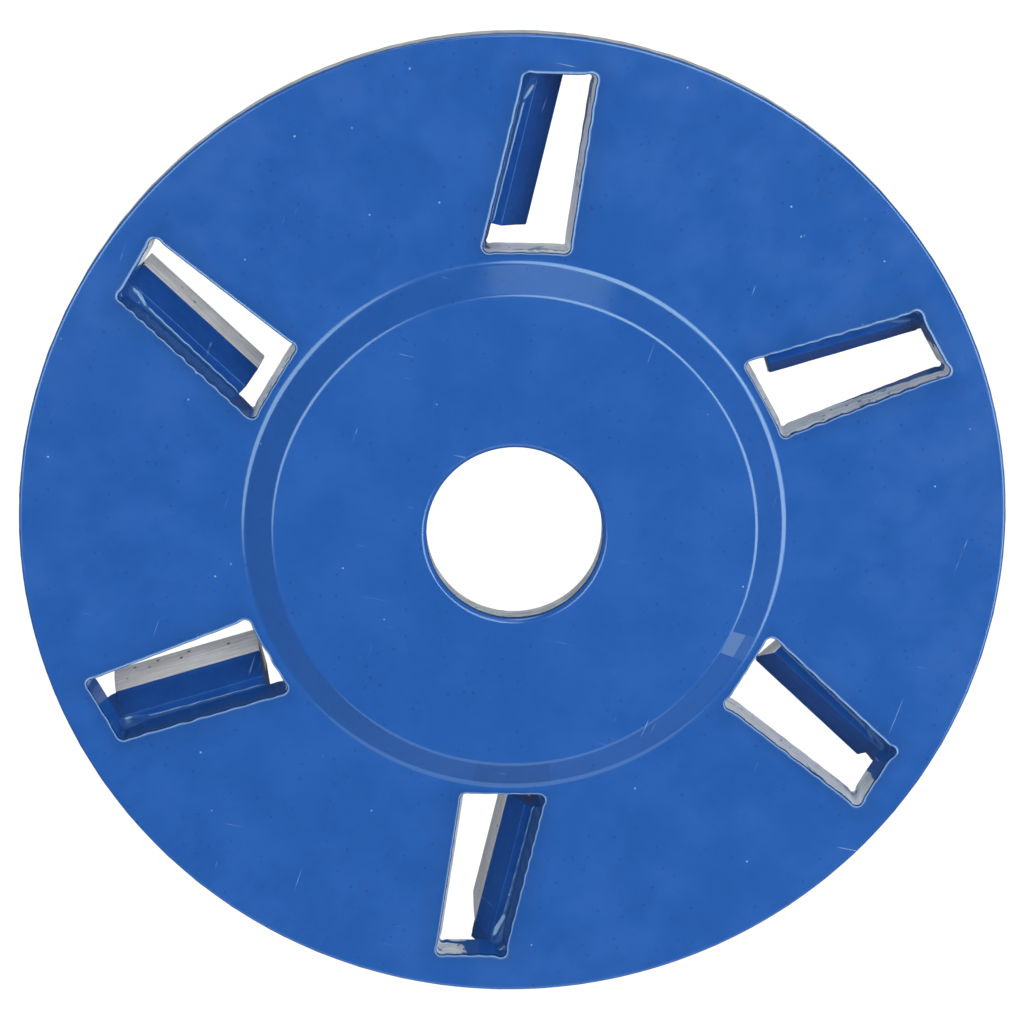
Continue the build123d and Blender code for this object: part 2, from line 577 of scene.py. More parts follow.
STATIONS = (
    Station(
        number=1, lean=28, grind=11, grind_start=2.8 * MM,
        waves=(0.02, 0.06, 0.03, 0.05), bulges=(0.12, 0.2, 0.28, 0.25),
        bare=(1, 1, 1, 0), fresh_and_gleam=(0.5, 0.1, 0.3, 0), drip=1.0,
    ),
    Station(
        number=2, lean=31, grind=1, grind_start=4.0 * MM,
        waves=(0.04, 0.05, 0.02, 0.05), bulges=(0.14, 0.14, 0.2, 0.12),
        bare=(1, 1, 1, 0), fresh_and_gleam=(0.9, 0.9, 0.5, 0), drip=0.8, smudge=1.0,
    ),
    Station(
        number=3, lean=28, grind=12, grind_start=2.8 * MM,
        waves=(0.04, 0.01, 0.03, 0.1), bulges=(0.15, 0.12, 0.22, 0.16),
        bare=(1, 1, 1, 0), fresh_and_gleam=(1, 0.5, 1, 0), smudge=0.4,
    ),
    Station(
        number=4, lean=31, grind=21, grind_start=2.8 * MM,
        waves=(0.05, 0.02, 0.05, 0.08), bulges=(0.16, 0.22, 0.15, 0.12),
        bare=(1, 1, 0.1, 0), fresh_and_gleam=(1, 0.5, 0, 0), facet=0.16 * MM,
    ),
    Station(
        number=5, lean=28, grind=10, grind_start=2.8 * MM,
        waves=(0.03, 0.02, 0.05, 0.07), bulges=(0.12, 0.06, 0.16, 0.28),
        bare=(1, 1, 0.62, 0), fresh_and_gleam=(0.5, 0.5, 0, 0), tip_wear=2.3 * MM,
    ),
    Station(
        number=6, lean=30, grind=1, grind_start=4.0 * MM,
        waves=(0.05, 0.08, 0.05, 0.05), bulges=(0.1, 0.26, 0.26, 0.28),
        bare=(1, 1, 0.85, 0), fresh_and_gleam=(0.4, 0.5, 0.1, 0), inner_round=0.7 * MM, sawn_end=1.0,
    ),
)


@dataclass(frozen=True)
class Outline:
    """Points round a chip window, with what each of them needs to know."""

    points: np.ndarray
    normals: np.ndarray
    sides: np.ndarray
    arc: np.ndarray
    corners: np.ndarray
    length: float


@dataclass(frozen=True)
class ChipWindow:
    """One punched chip window, in its station's frame."""

    trail_y: float = 8.9 * MM
    inner_x: float = 24.15 * MM
    length: float = 16.35 * MM
    inner_width: float = 7.65 * MM
    outer_width: float = 6.25 * MM
    end_slant: float = math.radians(12.5)
    corner_radius: float = 0.7 * MM
    wall_taper: float = math.radians(7.5)
    wavelength: float = 1.25 * MM
    bulge_width: float = 0.55 * MM
    step: float = 0.18 * MM
    cove_inner: float = 0.2 * MM
    cove_outer: float = 0.5 * MM
    lip: tuple[tuple[float, float, float], ...] = (
        (0.32, 0.0, 0.0),
        (0.21, -0.002, 0.4),
        (0.15, -0.022, 0.75),
        (0.09, -0.026, 0.95),
        (0.045, -0.004, 1.0),
        (0.01, 0.05, 1.0),
        (-0.012, 0.12, 1.0),
        (-0.01, 0.22, 0.9),
    )
    wall: tuple[float, ...] = (
        0.4, 0.7, 1.05, 1.4, 1.75, 2.05, 2.3, 2.5, 2.66, 2.78, 2.87, 2.93, 2.97, 2.99
    )

    def corners(self) -> list[Vector]:
        """The window's corners in its station's frame.

        Returns:
            Trailing inner, leading inner, leading outer and trailing outer.
        """
        slant = math.tan(self.end_slant)
        outer_x = self.inner_x + self.length
        return [
            Vector((self.inner_x, self.trail_y)),
            Vector((self.inner_x + self.inner_width * slant, self.trail_y - self.inner_width)),
            Vector((outer_x + self.outer_width * slant, self.trail_y - self.outer_width)),
            Vector((outer_x, self.trail_y)),
        ]

    def outline(self) -> Outline:
        """Lays points round the window, with its corners rounded.

        Returns:
            The outline, counter-clockwise, starting on the inner wall.
        """
        corners = self.corners()
        count = len(corners)
        ways = [(corners[(k + 1) % count] - corners[k]).normalized() for k in range(count)]
        cuts = [self.corner_radius * math.tan(ways[k - 1].angle(ways[k]) / 2) for k in range(count)]
        points, normals, sides, middles, travelled = [], [], [], [], 0.0
        arc = []
        for k in range(count):
            nxt = (k + 1) % count
            start = corners[k] + ways[k] * cuts[k]
            run = (corners[nxt] - ways[k] * cuts[nxt] - start).length
            facing = Vector((ways[k].y, -ways[k].x))
            steps = math.ceil(run / self.step)
            for n in range(steps):
                points.append(start + ways[k] * (run * n / steps))
                normals.append(facing)
                sides.append(np.eye(count)[k])
                arc.append(travelled + run * n / steps)
            travelled += run
            turn = ways[k].angle(ways[nxt])
            centre = start + ways[k] * run - facing * self.corner_radius
            steps = max(8, math.ceil(self.corner_radius * turn / self.step))
            for n in range(steps):
                bent = facing.copy()
                bent.rotate(Matrix.Rotation(turn * n / steps, 2))
                points.append(centre + bent * self.corner_radius)
                normals.append(bent)
                sides.append(np.eye(count)[k] * (1 - n / steps) + np.eye(count)[nxt] * (n / steps))
                arc.append(travelled + self.corner_radius * turn * n / steps)
            middles.append(travelled + self.corner_radius * turn / 2)
            travelled += self.corner_radius * turn
        middles = [middles[-1], *middles[:-1]]
        arrays = [np.array(values) for values in (points, normals, sides, arc, middles)]
        return Outline(*arrays, travelled)

    def raggedness(self, outline: Outline, station: Station) -> tuple[np.ndarray, np.ndarray]:
        """How far the punched edge strays outwards at each point.

        Args:
            outline: The window's outline.
            station: The window's tooth station.

        Returns:
            The fine wave, and the relief at the corners.
        """
        amplitude = outline.sides @ np.array(station.waves) * MM
        wave = unevenness(outline.arc, outline.length, self.wavelength, 20 + station.number) * amplitude
        relief = np.zeros_like(wave)
        for middle, size in zip(outline.corners, station.bulges):
            away = np.abs(outline.arc - middle)
            away = np.minimum(away, outline.length - away)
            relief = relief + size * MM * np.exp(-((away / self.bulge_width) ** 2))
        return wave, relief

    def cove(self, outline: Outline, blade_x: tuple[float, float]) -> np.ndarray:
        """Size of the pooled enamel between the trailing wall and the blade's root.

        Args:
            outline: The window's outline.
            blade_x: Where the blade begins and ends along X.

        Returns:
            The size at each point of the outline.
        """
        x = outline.points[:, 0]
        along = np.clip((x - blade_x[0]) / (blade_x[1] - blade_x[0]), 0.0, 1.0)
        size = self.cove_inner + (self.cove_outer - self.cove_inner) * along**2
        present = smooth(x, blade_x[0] - 0.1 * MM, blade_x[0] + 0.5 * MM)
        return size * present * outline.sides[:, Side.TRAILING.value]


# Angles in degrees: the start and end of the flank's darker patch, painted shade in its reflection, then of
# its pale scuff.
FLANK_PATCH_EDGES = (244.6, 261.9, 312.7, 318.6)
MARK_SOFTNESS = 0.08
Ring = tuple[float, float, float, float]  # radius, height, bare value and mark


@dataclass(frozen=True)
class DiscPlate:
    """The pressed blank: raised centre, arbor bore, six chip windows and the rim."""

    radius: float = 45.0 * MM
    bore_radius: float = 8.0 * MM
    thickness: float = 3.0 * MM
    boss_radius: float = 22.0 * MM
    foot_radius: float = 24.6 * MM
    top_bend: float = 0.7 * MM
    foot_bend: float = 1.1 * MM
    scuff_reach: float = 23.45 * MM
    # Strength of the pale highlight painted on the raised crest of each window's lip.
    lip_highlight: float = 0.32
    scuff_mark: float = 0.2
    flank_mark: float = 0.04
    # How strongly the flank's darker patch is painted as shade.
    dark_patch_shade: float = 0.17
    trailing_shade: float = 0.35
    seam_reach: float = 0.4 * MM
    rim_fillet: float = 0.27 * MM
    blade_x: tuple[float, float] = (26.4 * MM, 40.5 * MM)
    segments: int = 400
    bend_steps: int = 8
    bore_wall: tuple[Ring, ...] = (
        (0.0, 0.42, 0.05, -0.9),
        (0.0, 0.6, 0.3, -0.9),
        (-0.01, 0.68, 1.2, 0.9),
        (0.06, 0.8, 3.0, 1.0),
        (0.06, 0.84, 3.0, -0.2),
        (0.03, 1.3, 3.0, 0.1),
        (0.0, 1.75, 3.0, 0.0),
        (0.02, 1.8, 3.0, -0.4),
        (0.02, 1.86, 3.0, 0.1),
        (0.0, 2.6, 3.0, 0.4),
    )
    bore_lip: tuple[Spot, ...] = (
        (1.0, 0.0),
        (0.56, 0.0),
        (0.46, -0.008),
        (0.38, 0.006),
        (0.27, 0.06),
        (0.15, 0.16),
        (0.05, 0.27),
        (0.01, 0.36),
    )
    window: ChipWindow = ChipWindow()

    def bend(self, before: Spot, corner: Spot, after: Spot, radius: float) -> list[Spot]:
        """Rounds one corner of the pressed profile.

        Args:
            before: The point before the corner, as radius and height.
            corner: The corner.
            after: The point after it.
            radius: The bend's radius.

        Returns:
            Points along the bend.
        """
        first = (Vector(before) - Vector(corner)).normalized()
        second = (Vector(after) - Vector(corner)).normalized()
        half = first.angle(second) / 2
        inwards = (first + second).normalized()
        centre = Vector(corner) + inwards * (radius / math.sin(half))
        aside = Vector((-inwards.y, inwards.x))
        if aside.dot(first) < 0:
            aside.negate()
        swing = math.pi / 2 - half
        turns = np.linspace(swing, -swing, self.bend_steps + 1)
        spokes = [aside * math.sin(turn) - inwards * math.cos(turn) for turn in turns]
        return [tuple(centre + spoke * radius) for spoke in spokes]

    def centre_profile(self, levels: Heights) -> list[Ring]:
        """The rings of the raised centre, from the window face's inner edge to the underside's.

        Args:
            levels: The disc's levels.

        Returns:
            The rings, over the raised centre, down the bore and out along the underside.
        """
        top, back = levels.boss_top, levels.boss_top - self.thickness
        rise = levels.boss_top - levels.face
        inset = self.thickness * math.tan(math.atan2(rise, self.foot_radius - self.boss_radius) / 2)
        foot, brow = (self.foot_radius, levels.face), (self.boss_radius, top)
        under_foot, under_brow = (self.foot_radius - inset, levels.work), (self.boss_radius - inset, back)
        bore = self.bore_radius
        upper = [(self.foot_radius + 0.4 * MM, levels.face)]
        upper += self.bend((self.radius, levels.face), foot, brow, self.foot_bend)
        upper += [tuple(Vector(foot).lerp(Vector(brow), share)) for share in (0.2, 0.42, 0.46, 0.8)]
        upper += self.bend(foot, brow, (bore, top), self.top_bend)
        upper += [(self.boss_radius - 0.5 * MM, top)]
        upper += [(bore + out * MM, top - drop * MM) for out, drop in self.bore_lip]
        rings = [(r, z, 0.0, 0.0) for r, z in upper]
        for out, depth, bare, mark in self.bore_wall:
            rings.append((bore + out * MM, top - depth * MM, bare, mark))
        lower = [(bore + 0.05 * MM, back + 0.12 * MM), (bore + 0.3 * MM, back), (bore + 0.6 * MM, back)]
        lower += [(self.boss_radius - inset - 0.6 * MM, back)]
        lower += self.bend((bore, back), under_brow, under_foot, self.foot_bend)
        lower += self.bend(under_brow, under_foot, (self.radius, levels.work), self.top_bend)
        lower += [(self.foot_radius - inset + 0.4 * MM, levels.work)]
        return rings + [(r, z, 0.0, 0.0) for r, z in lower]

    def rim_profile(self, levels: Heights) -> list[Ring]:
        """The rings over the rim, from the front face to the work face.

        Args:
            levels: The disc's levels.

        Returns:
            The rings, in order.
        """
        fillet, inner = self.rim_fillet, self.radius - self.rim_fillet
        upper = [
            (inner + fillet * math.sin(turn), levels.face - fillet + fillet * math.cos(turn))
            for turn in (math.pi / 2 * step / self.bend_steps for step in range(self.bend_steps + 1))
        ]
        middle = (levels.face + levels.work) / 2
        rings = [(inner - 0.12 * MM, levels.face, 0.0, 0.0), *[(r, z, 0.0, 0.0) for r, z in upper[:-2]]]
        rings += [(r, z, 0.62, -0.7) for r, z in upper[-2:]]
        # The bare side wall's small pale marks draw it paler, partly as a painted reflection of the pale
        # floor.
        rings.append((self.radius - 0.01 * MM, middle + 0.5 * MM, 3.0, 0.15))
        rings.append((self.radius - 0.02 * MM, middle, 3.0, 0.1))
        rings += [(r, 2 * middle - z, 2.0, 0.1) for r, z in reversed(upper[4:])]
        rings += [(r, 2 * middle - z, 0.0, 0.0) for r, z in reversed(upper[:4])]
        return rings + [(inner - 0.12 * MM, levels.work, 0.0, 0.0)]

    def turned_rings(
        self, shell: Shell, profile: Sequence[Ring], wobble: float, seed: int
    ) -> list[list[int]]:
        """Lays a profile's rings round the axis and joins them.

        Args:
            shell: The mesh being laid out.
            profile: The rings, in order.
            wobble: How far bare rings stray inwards or outwards.
            seed: Seed of the wobble.

        Returns:
            The first and the last ring.
        """
        even = np.arange(self.segments) * 360 / self.segments
        sharp = [edge + side for edge in FLANK_PATCH_EDGES for side in (-MARK_SOFTNESS, MARK_SOFTNESS)]
        turn = np.radians(np.sort(np.concatenate((even, sharp))))
        stray = unevenness(turn, math.tau, 0.05, seed) * wobble
        lift = unevenness(turn, math.tau, 0.12, seed + 1) * 0.25 + 0.75
        rings = []
        for radius, height, bare, mark in profile:
            beyond = radius + stray * min(1.0, bare * 2)
            x, y = beyond * np.cos(turn), beyond * np.sin(turn)
            points = np.column_stack((x, y, np.full_like(turn, height)))
            if self.boss_radius < radius < self.foot_radius:
                mark = self.flank_patches(turn, radius < self.scuff_reach)
            way = {"along": turn * radius, "across": height}
            rings.append(shell.row(points, bare=bare * lift, tarnished=0.15, mark=mark, **way))
        for first, second in zip(rings, rings[1:]):
            shell.bridge(first, second)
        return [rings[0], rings[-1]]

    def flank_patches(self, turn: np.ndarray, scuffed: bool) -> np.ndarray:
        """A pale scuff and a darker patch on the raised centre's flank; the darker patch is painted shade
        where the flank's reflection darkens.

        Args:
            turn: Angles about the axis, in radians.
            scuffed: Whether the ring lies where the scuffs reach.

        Returns:
            A value at each angle, above 0 where it is scuffed pale and below 0 where painted shade darkens
            it.
        """
        degrees = np.degrees(turn)
        dark_from, dark_to, pale_from, pale_to = FLANK_PATCH_EDGES
        pale = (degrees > pale_from) & (degrees < pale_to)
        dark = (degrees > dark_from) & (degrees < dark_to)
        return (self.scuff_mark if scuffed else self.flank_mark) * pale - self.dark_patch_shade * dark

    def window_walls(self, shell: Shell, station: Station, levels: Heights) -> tuple[list[int], list[int]]:
        """Lays one chip window's lip, walls and bottom edge.

        Args:
            shell: The mesh being laid out.
            station: The station that the window belongs to.
            levels: The disc's levels.

        Returns:
            The window's ring in the front face and its ring in the work face.
        """
        shape = self.window
        outline = shape.outline()
        wave, relief = shape.raggedness(outline, station)
        cove = shape.cove(outline, self.blade_x)
        room = np.hypot(*outline.points.T) - self.foot_radius - 0.4 * MM
        squeeze = np.clip(room / (0.75 * MM), 0.45, 1.0)
        along = np.clip((outline.points[:, 0] - shape.inner_x) / shape.length, 0.0, 1.0)
        walls = outline.sides @ np.array(station.bare, float)
        painted = smooth(outline.points[:, 1], shape.trail_y - 4.0 * MM, shape.trail_y - 2.6 * MM)
        walls = walls * (1 - painted * outline.sides[:, Side.OUTER.value])
        away = np.minimum(outline.arc, outline.length - outline.arc)
        worn = np.exp(-((away / self.seam_reach) ** 2))
        walls = np.maximum(walls, 0.9 * worn)
        fresh_and_gleam = np.maximum(outline.sides @ np.array(station.fresh_and_gleam, float), 0.8 * worn)
        shaded = self.trailing_shade * outline.sides[:, Side.TRAILING.value]
        leading = outline.sides[:, Side.LEADING.value]
        smudge = station.smudge * outline.sides[:, Side.INNER.value]

        def ring(push: Any, depth: float, share: float, bare: Any, mark: Any = 0.0) -> list[int]:
            """Adds one ring at a depth below the front face.

            Args:
                push: How far outwards it lies from the outline.
                depth: Its depth.
                share: How much of the fine wave it takes.
                bare: How bare it is.
                mark: Its mark, above 0 pale and below 0 dark.

            Returns:
                The ring's indices.
            """
            flat = outline.points + outline.normals * (push + wave * share + relief)[:, None]
            points = np.column_stack((flat, np.full(len(flat), levels.face - depth)))
            way = {"along": outline.arc + station.number, "across": depth}
            return shell.row(placed(points, station.angle), bare=bare, tarnished=0.12, mark=mark, **way)

        rings = []
        for push, depth, share in shape.lip:
            # The lip's rings paint a dark line just below the crest, and the crest itself gets a pale
            # painted highlight.
            mark = -0.95 * smooth(depth, -0.015, 0.04) * (1 - smooth(depth, 0.14, 0.24))
            mark = mark + self.lip_highlight * smooth(-depth, 0.01, 0.02)
            reach = push * MM * (squeeze if push > 0 else 1.0)
            rings.append(ring(reach, depth * MM, share, walls * smooth(depth, 0.12, 0.26), mark))
        for depth in shape.wall:
            taper = -depth * MM * math.tan(shape.wall_taper)
            reach = np.clip((depth * MM - self.thickness + cove) / np.maximum(cove, 1e-9), 0.0, 1.0)
            pooled = cove * (1.0 - np.sqrt(1.0 - np.minimum(reach, 0.995) ** 2))
            drip = station.drip * leading * smooth(depth / 3.0 + 0.75 * along, 1.25, 1.35)
            stain = smudge * smooth(depth, 0.8, 1.4) * (1 - smooth(depth, 2.0, 2.5)) * 0.4
            bare = walls * (1 - drip) - stain
            # Bare walls are painted paler, partly as bright punched metal and partly as a painted
            # reflection of the floor; the painted trailing wall is darkened as painted shade.
            mark = fresh_and_gleam * bare - shaded * (1 - bare)
            rings.append(ring(taper - pooled, depth * MM, 0.85 - 0.15 * depth, bare, mark))
        bottom = -self.thickness * math.tan(shape.wall_taper)
        rings.append(ring(bottom - cove, self.thickness, 0.4, walls))
        rings.append(ring(np.full_like(cove, bottom + 0.3 * MM), self.thickness, 0.0, 0.0))
        for first, second in zip(rings, rings[1:]):
            shell.bridge(first, second)
        return rings[0], rings[-1]

    def loose_points(self, shell: Shell, height: float, rings: Sequence[Sequence[int]]) -> list[int]:
        """Adds points over the flat face, clear of the windows, so that its triangles stay even.

        Args:
            shell: The mesh being laid out.
            height: The face's height.
            rings: The rings that the points stay clear of.

        Returns:
            The points' indices.
        """
        spots = []
        for radius in np.linspace(27.0, 43.0, 9) * MM:
            turn = np.linspace(0, math.tau, round(math.tau * radius / (2.0 * MM)), endpoint=False)
            spots.append(np.column_stack((radius * np.cos(turn), radius * np.sin(turn))))
        spots = np.concatenate(spots)
        for ring in rings:
            window = np.array([shell.points[index][:2] for index in ring])
            gap = np.min(np.linalg.norm(spots[:, None] - window, axis=2), axis=1)
            spots = spots[(gap > 0.8 * MM) & (within(spots, window) == 0)]
        return shell.row(np.column_stack((spots, np.full(len(spots), height))))

    def make(self, levels: Heights, finish: bpy.types.Material) -> bpy.types.Object:
        """Builds and dresses the plate.

        Args:
            levels: The disc's levels.
            finish: The plate's enamel.

        Returns:
            The finished piece.
        """
        shell = Shell(*SURFACE_VALUES)
        inner_front, inner_work = self.turned_rings(shell, self.centre_profile(levels), 0.01 * MM, 5)
        outer_front, outer_work = self.turned_rings(shell, self.rim_profile(levels), -0.03 * MM, 9)
        windows = [self.window_walls(shell, station, levels) for station in STATIONS]
        for height, outer, inner, side in (
            (levels.face, outer_front, inner_front, 0),
            (levels.work, outer_work, inner_work, 1),
        ):
            openings = [pair[side] for pair in windows]
            loose = self.loose_points(shell, height, openings)
            shell.fill([outer, inner, *openings], loose)
        piece = shell.build("enamelled_plate")
        grow_nibs(piece, finish)
        dress(piece, finish, "disc_plate")
        return piece


def grow_nibs(piece: bpy.types.Object, finish: bpy.types.Material) -> None:
    """Scatters small nibs of paint over the plate with Geometry Nodes, as part of its mesh.

    Args:
        piece: The plate.
        finish: The enamel that the nibs share with it.
    """
    tree = bpy.data.node_groups.new("paint_nibs", "GeometryNodeTree")
    wire = Wiring(tree)
    new = tree.interface.new_socket
    new("Plate", in_out="INPUT", socket_type="NodeSocketGeometry")
    sizes = {"Nibs per square metre": 2600.0, "Nib radius": 0.055 * MM, "Nib flatness": 0.3}
    sockets = {name: new(name, in_out="INPUT", socket_type="NodeSocketFloat") for name in sizes}
    sockets["Seed"] = new("Seed", in_out="INPUT", socket_type="NodeSocketInt")
    sockets["Enamel"] = new("Enamel", in_out="INPUT", socket_type="NodeSocketMaterial")
    new("Plate", in_out="OUTPUT", socket_type="NodeSocketGeometry")
    given = wire.add("NodeGroupInput").outputs
    normal = wire.add("GeometryNodeInputNormal").outputs[0]
    upright = wire.add("ShaderNodeSeparateXYZ", {0: normal}).outputs[2]
    upper = wire.maths("GREATER_THAN", upright, 0.999)
    spots = wire.add(
        "GeometryNodeDistributePointsOnFaces",
        {
            "Mesh": given["Plate"],
            "Selection": upper,
            "Density": given["Nibs per square metre"],
            "Seed": given["Seed"],
        },
        distribute_method="RANDOM",
    )
    ball = {"Radius": given["Nib radius"], "Subdivisions": 2}
    bead = wire.add("GeometryNodeMeshIcoSphere", ball).outputs[0]
    flat = wire.add("ShaderNodeCombineXYZ", {0: 1.0, 1: 1.0, 2: given["Nib flatness"]}).outputs[0]
    bead = wire.add("GeometryNodeTransform", {"Geometry": bead, "Scale": flat}).outputs[0]
    size = wire.add(
        "FunctionNodeRandomValue", {2: 0.4, 3: 1.25, "Seed": given["Seed"]}, data_type="FLOAT"
    ).outputs[1]
    nibs = wire.add(
        "GeometryNodeInstanceOnPoints", {"Points": spots.outputs[0], "Instance": bead, "Scale": size}
    ).outputs[0]
    nibs = wire.add("GeometryNodeRealizeInstances", {0: nibs}).outputs[0]
    nibs = wire.add("GeometryNodeSetShadeSmooth", {0: nibs}).outputs[0]
    joined = wire.add("GeometryNodeJoinGeometry")
    for part in (given["Plate"], nibs):
        tree.links.new(part, joined.inputs[0])
    coated = wire.add(
        "GeometryNodeSetMaterial", {"Geometry": joined.outputs[0], "Material": given["Enamel"]}
    ).outputs[0]
    wire.add("NodeGroupOutput", {0: coated})
    values = {sockets[name].identifier: size for name, size in sizes.items()}
    settle(piece, tree, {**values, sockets["Seed"].identifier: 4, sockets["Enamel"].identifier: finish})


def settle(piece: bpy.types.Object, tree: bpy.types.NodeTree, values: dict[str, Any]) -> None:
    """Runs a Geometry Nodes tree on a piece and keeps its result as a plain mesh.

    Args:
        piece: The piece to change.
        tree: The tree to run.
        values: The modifier's inputs, by socket identifier.
    """
    modifier = piece.modifiers.new(tree.name, "NODES")
    modifier.node_group = tree
    for identifier, value in values.items():
        modifier[identifier] = value
    graph = bpy.context.evaluated_depsgraph_get()
    mesh = bpy.data.meshes.new_from_object(piece.evaluated_get(graph))
    piece.modifiers.clear()
    old, piece.data = piece.data, mesh
    bpy.data.meshes.remove(old)
    mesh.name = piece.name


def dress(piece: bpy.types.Object, finish: bpy.types.Material, node: str) -> None:
    """Gives a piece its finish and tells the frame what it stands for.

    Args:
        piece: The piece.
        finish: Its material.
        node: The CAD node that the piece replaces.
    """
    piece.data.materials.clear()
    piece.data.materials.append(finish)
    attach(piece, BODY)
    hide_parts(node)


@dataclass(frozen=True)
class Tooth:
    """One blade, standing on end under the trailing wall of its window."""

    station: Station
    root_y: float = 7.55 * MM
    thickness: float = 3.0 * MM
    inner_x: float = 26.4 * MM
    length: float = 14.1 * MM
    clearance: float = math.radians(15.0)
    film: float = 0.07 * MM
    edge_round: float = 0.12 * MM
    ledge: float = 1.35 * MM
    columns: int = 72

    def section(self, levels: Heights) -> tuple[np.ndarray, np.ndarray]:
        """The blade's outline across its length.

        Args:
            levels: The disc's levels.

        Returns:
            The outline as (Y, Z) rows, and the bare value at each of its points.
        """
        lean, grind = math.radians(self.station.lean), math.radians(self.station.grind)
        tall = levels.work - levels.tip
        slope, rise = math.tan(lean), math.tan(self.clearance)
        heel = self.root_y + self.thickness / math.cos(lean)
        grind_y = self.root_y - self.station.grind_start * slope
        tip_y = grind_y - (tall - self.station.grind_start) * math.tan(grind)
        run = (heel - tip_y - tall * slope) / (1 - rise * slope)
        root = np.array((self.root_y, levels.work))
        start = np.array((grind_y, levels.work - self.station.grind_start))
        tip, back = np.array((tip_y, levels.tip)), np.array((tip_y + run, levels.tip + rise * run))
        rear = np.array((heel, levels.work))
        down = np.array((-math.sin(lean), -math.cos(lean)))
        outwards = np.array((-math.cos(lean), math.sin(lean)))
        points, bare = [], []

        def stretch(first: np.ndarray, last: np.ndarray, count: int, value: float) -> None:
            """Adds evenly spaced points from first up to last, without last.

            Args:
                first: Where they start.
                last: Where they stop.
                count: How many there are.
                value: How bare they are.
            """
            for share in np.linspace(0, 1, count, endpoint=False):
                points.append(first + (last - first) * share)
                bare.append(value)

        turn = math.pi / 2 - lean
        pull = self.edge_round * math.tan(turn / 2)
        centre = root + np.array((pull, -self.edge_round))
        stretch(rear, root + np.array((pull, 0.0)), 6, 0.0)
        for share in np.linspace(0, 1, 5):
            facing = math.pi / 2 + turn * share
            points.append(centre + self.edge_round * np.array((math.cos(facing), math.sin(facing))))
            bare.append(0.0)
        lip = start - down * 0.1 * MM
        stretch(root + down * (pull + 0.15 * MM), lip - down * 0.12 * MM, 9, 0.0)
        points += [lip - down * 0.1 * MM, lip - down * 0.03 * MM, lip + down * 0.03 * MM, start]
        bare += [0.0, 0.0, 0.25, 0.8]
        for index, amount in ((-4, 0.25), (-3, 0.6), (-2, 0.5)):
            points[index] = points[index] + outwards * self.film * amount
        facet = np.array((-1.0, 0.2)) * self.station.facet
        middle = start + (tip - start) * 0.62 + facet
        stretch(start + (middle - start) * 0.06, middle, 6, 1.0)
        stretch(middle, tip, 5, 1.0)
        stretch(tip, back, 5, 1.0)
        stretch(back, rear, 8, 0.0)
        return np.array(points), np.array(bare)

    def ends(self, depth: np.ndarray, tall: float) -> tuple[np.ndarray, np.ndarray]:
        """Where the blade begins and ends along X.

        Args:
            depth: Depths below its root.
            tall: The blade's height.

        Returns:
            The two places at each depth.
        """
        begin = np.full_like(depth, self.inner_x)
        curve = self.station.inner_round
        if curve:
            share = np.clip((depth - (self.station.grind_start - curve)) / curve, 0.0, 1.0)
            begin = begin + curve * (1 - np.sqrt(1 - share**2))
        end = self.inner_x + self.length - self.station.tip_wear * np.clip(depth / tall, 0.0, 1.0) ** 2.2
        return begin, end

    def make(self, levels: Heights, finish: bpy.types.Material) -> bpy.types.Object:
        """Builds and dresses the blade.

        Args:
            levels: The disc's levels.
            finish: The blade's enamel and ground steel.

        Returns:
            The finished piece.
        """
        section, bare = self.section(levels)
        number = self.station.number
        depth = levels.work - section[:, 1]
        begin, end = self.ends(depth, levels.work - levels.tip)
        near_grind = np.exp(-(((depth - self.station.grind_start) / (0.5 * MM)) ** 2)) * (bare < 1)
        middle = section.mean(axis=0)
        shell = Shell(*SURFACE_VALUES)
        arc = np.linspace(0, 1, self.columns + 1)
        wander = unevenness(arc * self.length, self.length * 1.37, 2.2 * MM, 60 + number) * 0.05 * MM
        edge = 0.1 * MM
        rows = []
        for index, share in enumerate(arc):
            shift = np.zeros_like(section)
            shift[:, 1] = wander[index] * near_grind
            x = begin + (end - begin) * share
            if index in (0, self.columns):
                inward = middle - section
                shift = shift + inward / np.linalg.norm(inward, axis=1)[:, None] * edge
            elif index in (1, self.columns - 1):
                x = np.where(index == 1, begin + edge, end - edge)
            points = np.column_stack((x, section + shift))
            tarnished = 0.1 + (0.15 if self.station.facet else 0.0)
            way = {"along": x + number, "across": depth}
            sawn = 0.0 if index else self.station.sawn_end
            steel = {"bare": np.maximum(bare, sawn), "tarnished": tarnished, "mark": 0.6 * sawn}
            rows.append(shell.row(placed(points, self.station.angle), **steel, **way))
        for first, second in zip(rows, rows[1:]):
            shell.bridge(first, second)
        shell.cap(rows[0])
        shell.cap(rows[-1])
        piece = shell.build(f"blade_{number}", crease=38.0)
        dress(piece, finish, f"tooth_{number}")
        return piece

    def heel(self, levels: Heights) -> tuple[float, float]:
        """Y and Z of the corner between the blade's rear face and the plate's work face."""
        return self.root_y + self.thickness / math.cos(math.radians(self.station.lean)), levels.work


